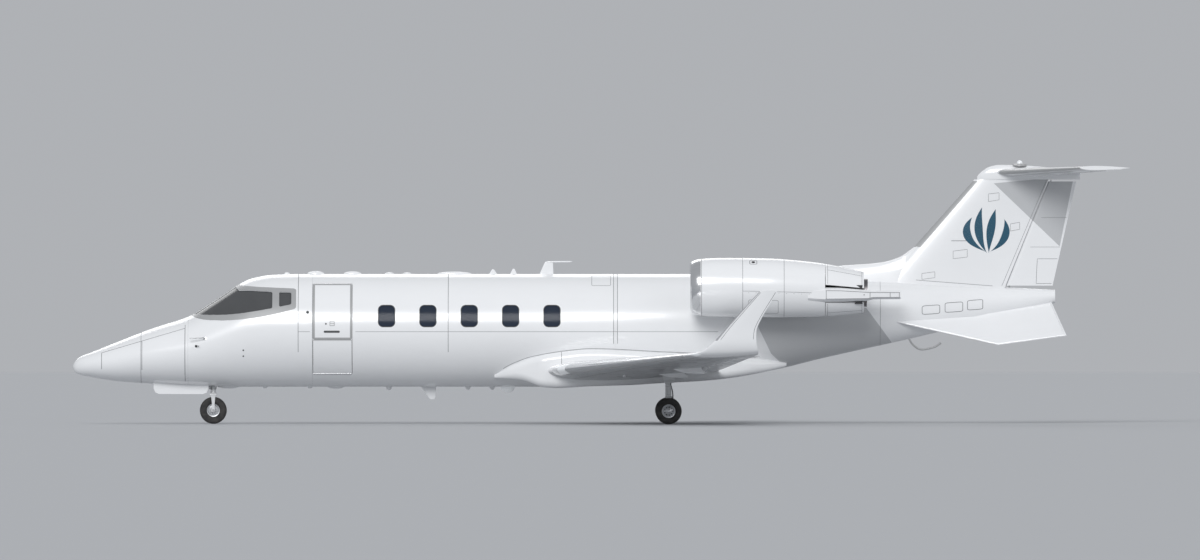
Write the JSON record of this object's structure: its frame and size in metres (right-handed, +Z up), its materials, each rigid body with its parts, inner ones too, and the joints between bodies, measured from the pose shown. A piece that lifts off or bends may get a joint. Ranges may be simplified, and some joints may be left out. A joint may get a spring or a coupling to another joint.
{
  "type": "business jet",
  "caption": "Business jet parked on its landing gear: hollow cabin with an airstair door, swept wings with winglets and flaps, a T-tail, and rear engine pods with fans and reverser doors.",
  "frame": {"origin": "on the ground, under the middle of the aircraft's length", "axes": "+X towards the tail, +Y towards the right (starboard) side, +Z up"},
  "size_m": [17.88, 13.3618, 4.3985],
  "materials": {
    "white_paint": "gloss white paint over aluminium skin",
    "dark_glass": "tinted, polished",
    "engine_metal": "dark heat-stained steel and titanium",
    "wheel_metal": "satin machined",
    "gear_paint": "semi-gloss grey paint",
    "tyre_rubber": "matte",
    "cabin_leather": "soft satin leather",
    "cabin_trim": "matte trim"
  },
  "bodies": {
    "airframe": {"nose_cone": "white_paint", "nose_section": "white_paint", "cockpit_shell": "white_paint", "cabin_roof": "white_paint", "cabin_belly": "white_paint", "cabin_side_left": "white_paint", "cabin_side_right": "white_paint", "aft_fuselage": "white_paint", "tail_cone": "white_paint", "belly_fairing": "white_paint", "fin": "white_paint", "stabilizer": "white_paint", "wing_left": "white_paint", "ventral_fin_left": "white_paint", "nacelle_left": "white_paint", "pylon_left": "white_paint", "cockpit_glass_left": "dark_glass", "cabin_windows_left": "dark_glass", "engine_left": "engine_metal", "main_leg_left": "gear_paint", "cabin_seats_left": "cabin_leather", "wing_right": "white_paint", "ventral_fin_right": "white_paint", "nacelle_right": "white_paint", "pylon_right": "white_paint", "cockpit_glass_right": "dark_glass", "cabin_windows_right": "dark_glass", "engine_right": "engine_metal", "main_leg_right": "gear_paint", "cabin_seats_right": "cabin_leather", "cockpit_seats": "cabin_leather", "cabin_floor": "cabin_trim", "instrument_panel": "cabin_trim", "nose_leg": "gear_paint"},
    "nose_fork": {"nose_fork": "gear_paint"},
    "nose_wheel": {"nose_wheel": "wheel_metal", "nose_tyre": "tyre_rubber"},
    "door_upper": {"door_upper": "white_paint"},
    "door_lower": {"door_lower": "white_paint"},
    "rudder": {"rudder": "white_paint"},
    "main_wheels_left": {"main_wheels_left": "wheel_metal", "main_tyre_left_inner": "tyre_rubber", "main_tyre_left_outer": "tyre_rubber"},
    "fan_left": {"fan_left": "engine_metal"},
    "aileron_left": {"aileron_left": "white_paint"},
    "flap_left": {"flap_left": "white_paint"},
    "spoiler_left": {"spoiler_left": "white_paint"},
    "elevator_left": {"elevator_left": "white_paint"},
    "reverser_upper_left": {"reverser_upper_left": "white_paint"},
    "reverser_lower_left": {"reverser_lower_left": "white_paint"},
    "main_wheels_right": {"main_wheels_right": "wheel_metal", "main_tyre_right_inner": "tyre_rubber", "main_tyre_right_outer": "tyre_rubber"},
    "fan_right": {"fan_right": "engine_metal"},
    "aileron_right": {"aileron_right": "white_paint"},
    "flap_right": {"flap_right": "white_paint"},
    "spoiler_right": {"spoiler_right": "white_paint"},
    "elevator_right": {"elevator_right": "white_paint"},
    "reverser_upper_right": {"reverser_upper_right": "white_paint"},
    "reverser_lower_right": {"reverser_lower_right": "white_paint"}
  },
  "joints": [
    {"name": "nose_steering", "type": "hinge", "parent": "airframe", "child": "nose_fork", "pos_m": [-6.56, 0, 0.5], "axis": [0, 0, 1], "range_deg": [-60, 60]},
    {"name": "nose_wheel_spin", "type": "hinge", "parent": "nose_fork", "child": "nose_wheel", "pos_m": [-6.56, 0, 0.2285], "axis": [0, 1, 0], "continuous": true},
    {"name": "main_wheels_left_spin", "type": "hinge", "parent": "airframe", "child": "main_wheels_left", "pos_m": [1.16, -1.255, 0.222], "axis": [0, 1, 0], "continuous": true},
    {"name": "main_wheels_right_spin", "type": "hinge", "parent": "airframe", "child": "main_wheels_right", "pos_m": [1.16, 1.255, 0.222], "axis": [0, 1, 0], "continuous": true},
    {"name": "fan_left_spin", "type": "hinge", "parent": "airframe", "child": "fan_left", "pos_m": [2.01, -1.42, 2.315], "axis": [1, 0, 0], "continuous": true},
    {"name": "fan_right_spin", "type": "hinge", "parent": "airframe", "child": "fan_right", "pos_m": [2.01, 1.42, 2.315], "axis": [1, 0, 0], "continuous": true},
    {"name": "door_upper_hinge", "type": "hinge", "parent": "airframe", "child": "door_upper", "pos_m": [-4.54, -0.54399, 2.37456], "axis": [-1, 0, 0], "range_deg": [0, 100]},
    {"name": "door_lower_hinge", "type": "hinge", "parent": "airframe", "child": "door_lower", "pos_m": [-4.54, -0.61579, 0.85213], "axis": [1, 0, 0], "range_deg": [0, 100]},
    {"name": "rudder_hinge", "type": "hinge", "parent": "airframe", "child": "rudder", "pos_m": [6.95003, 0, 2.345], "axis": [0.3655, 0, 0.9308], "range_deg": [-25, 25]},
    {"name": "elevator_left_hinge", "type": "hinge", "parent": "airframe", "child": "elevator_left", "pos_m": [7.79864, -0.16, 4.26964], "axis": [-0.3941, 0.9187, -0.0267], "range_deg": [-15, 15]},
    {"name": "elevator_right_hinge", "type": "hinge", "parent": "airframe", "child": "elevator_right", "pos_m": [7.79864, 0.16, 4.26964], "axis": [0.3941, 0.9187, 0.0267], "range_deg": [-15, 15]},
    {"name": "aileron_left_hinge", "type": "hinge", "parent": "airframe", "child": "aileron_left", "pos_m": [1.93877, -4.05013, 1.07057], "axis": [-0.1931, 0.9797, -0.0532], "range_deg": [-18, 18]},
    {"name": "aileron_right_hinge", "type": "hinge", "parent": "airframe", "child": "aileron_right", "pos_m": [1.93877, 4.05013, 1.07057], "axis": [0.1931, 0.9797, 0.0532], "range_deg": [-18, 18]},
    {"name": "flap_left_hinge", "type": "hinge", "parent": "airframe", "child": "flap_left", "pos_m": [1.32126, -1.32289, 0.77889], "axis": [-0.1931, 0.9797, -0.0532], "range_deg": [0, 40]},
    {"name": "flap_right_hinge", "type": "hinge", "parent": "airframe", "child": "flap_right", "pos_m": [1.32126, 1.32289, 0.77889], "axis": [0.1931, 0.9797, 0.0532], "range_deg": [0, 40]},
    {"name": "spoiler_left_hinge", "type": "hinge", "parent": "airframe", "child": "spoiler_left", "pos_m": [1.03869, -1.75072, 1.04969], "axis": [0.2461, -0.9686, 0.0364], "range_deg": [0, 45]},
    {"name": "spoiler_right_hinge", "type": "hinge", "parent": "airframe", "child": "spoiler_right", "pos_m": [1.03869, 1.75072, 1.04969], "axis": [-0.2461, -0.9686, -0.0364], "range_deg": [0, 45]},
    {"name": "reverser_upper_left_hinge", "type": "hinge", "parent": "airframe", "child": "reverser_upper_left", "pos_m": [4.39, -1.42, 2.26396], "axis": [0, 1, 0], "range_deg": [0, 70]},
    {"name": "reverser_lower_left_hinge", "type": "hinge", "parent": "airframe", "child": "reverser_lower_left", "pos_m": [4.39, -1.42, 2.13396], "axis": [0, -1, 0], "range_deg": [0, 70]},
    {"name": "reverser_upper_right_hinge", "type": "hinge", "parent": "airframe", "child": "reverser_upper_right", "pos_m": [4.39, 1.42, 2.26396], "axis": [0, 1, 0], "range_deg": [0, 70]},
    {"name": "reverser_lower_right_hinge", "type": "hinge", "parent": "airframe", "child": "reverser_lower_right", "pos_m": [4.39, 1.42, 2.13396], "axis": [0, -1, 0], "range_deg": [0, 70]}
  ],
  "couplings": [
    {"joint": "elevator_right_hinge", "follows": "elevator_left_hinge", "ratio": 1},
    {"joint": "aileron_right_hinge", "follows": "aileron_left_hinge", "ratio": -1},
    {"joint": "flap_right_hinge", "follows": "flap_left_hinge", "ratio": 1},
    {"joint": "reverser_lower_left_hinge", "follows": "reverser_upper_left_hinge", "ratio": 1},
    {"joint": "reverser_lower_right_hinge", "follows": "reverser_upper_right_hinge", "ratio": 1}
  ]
}
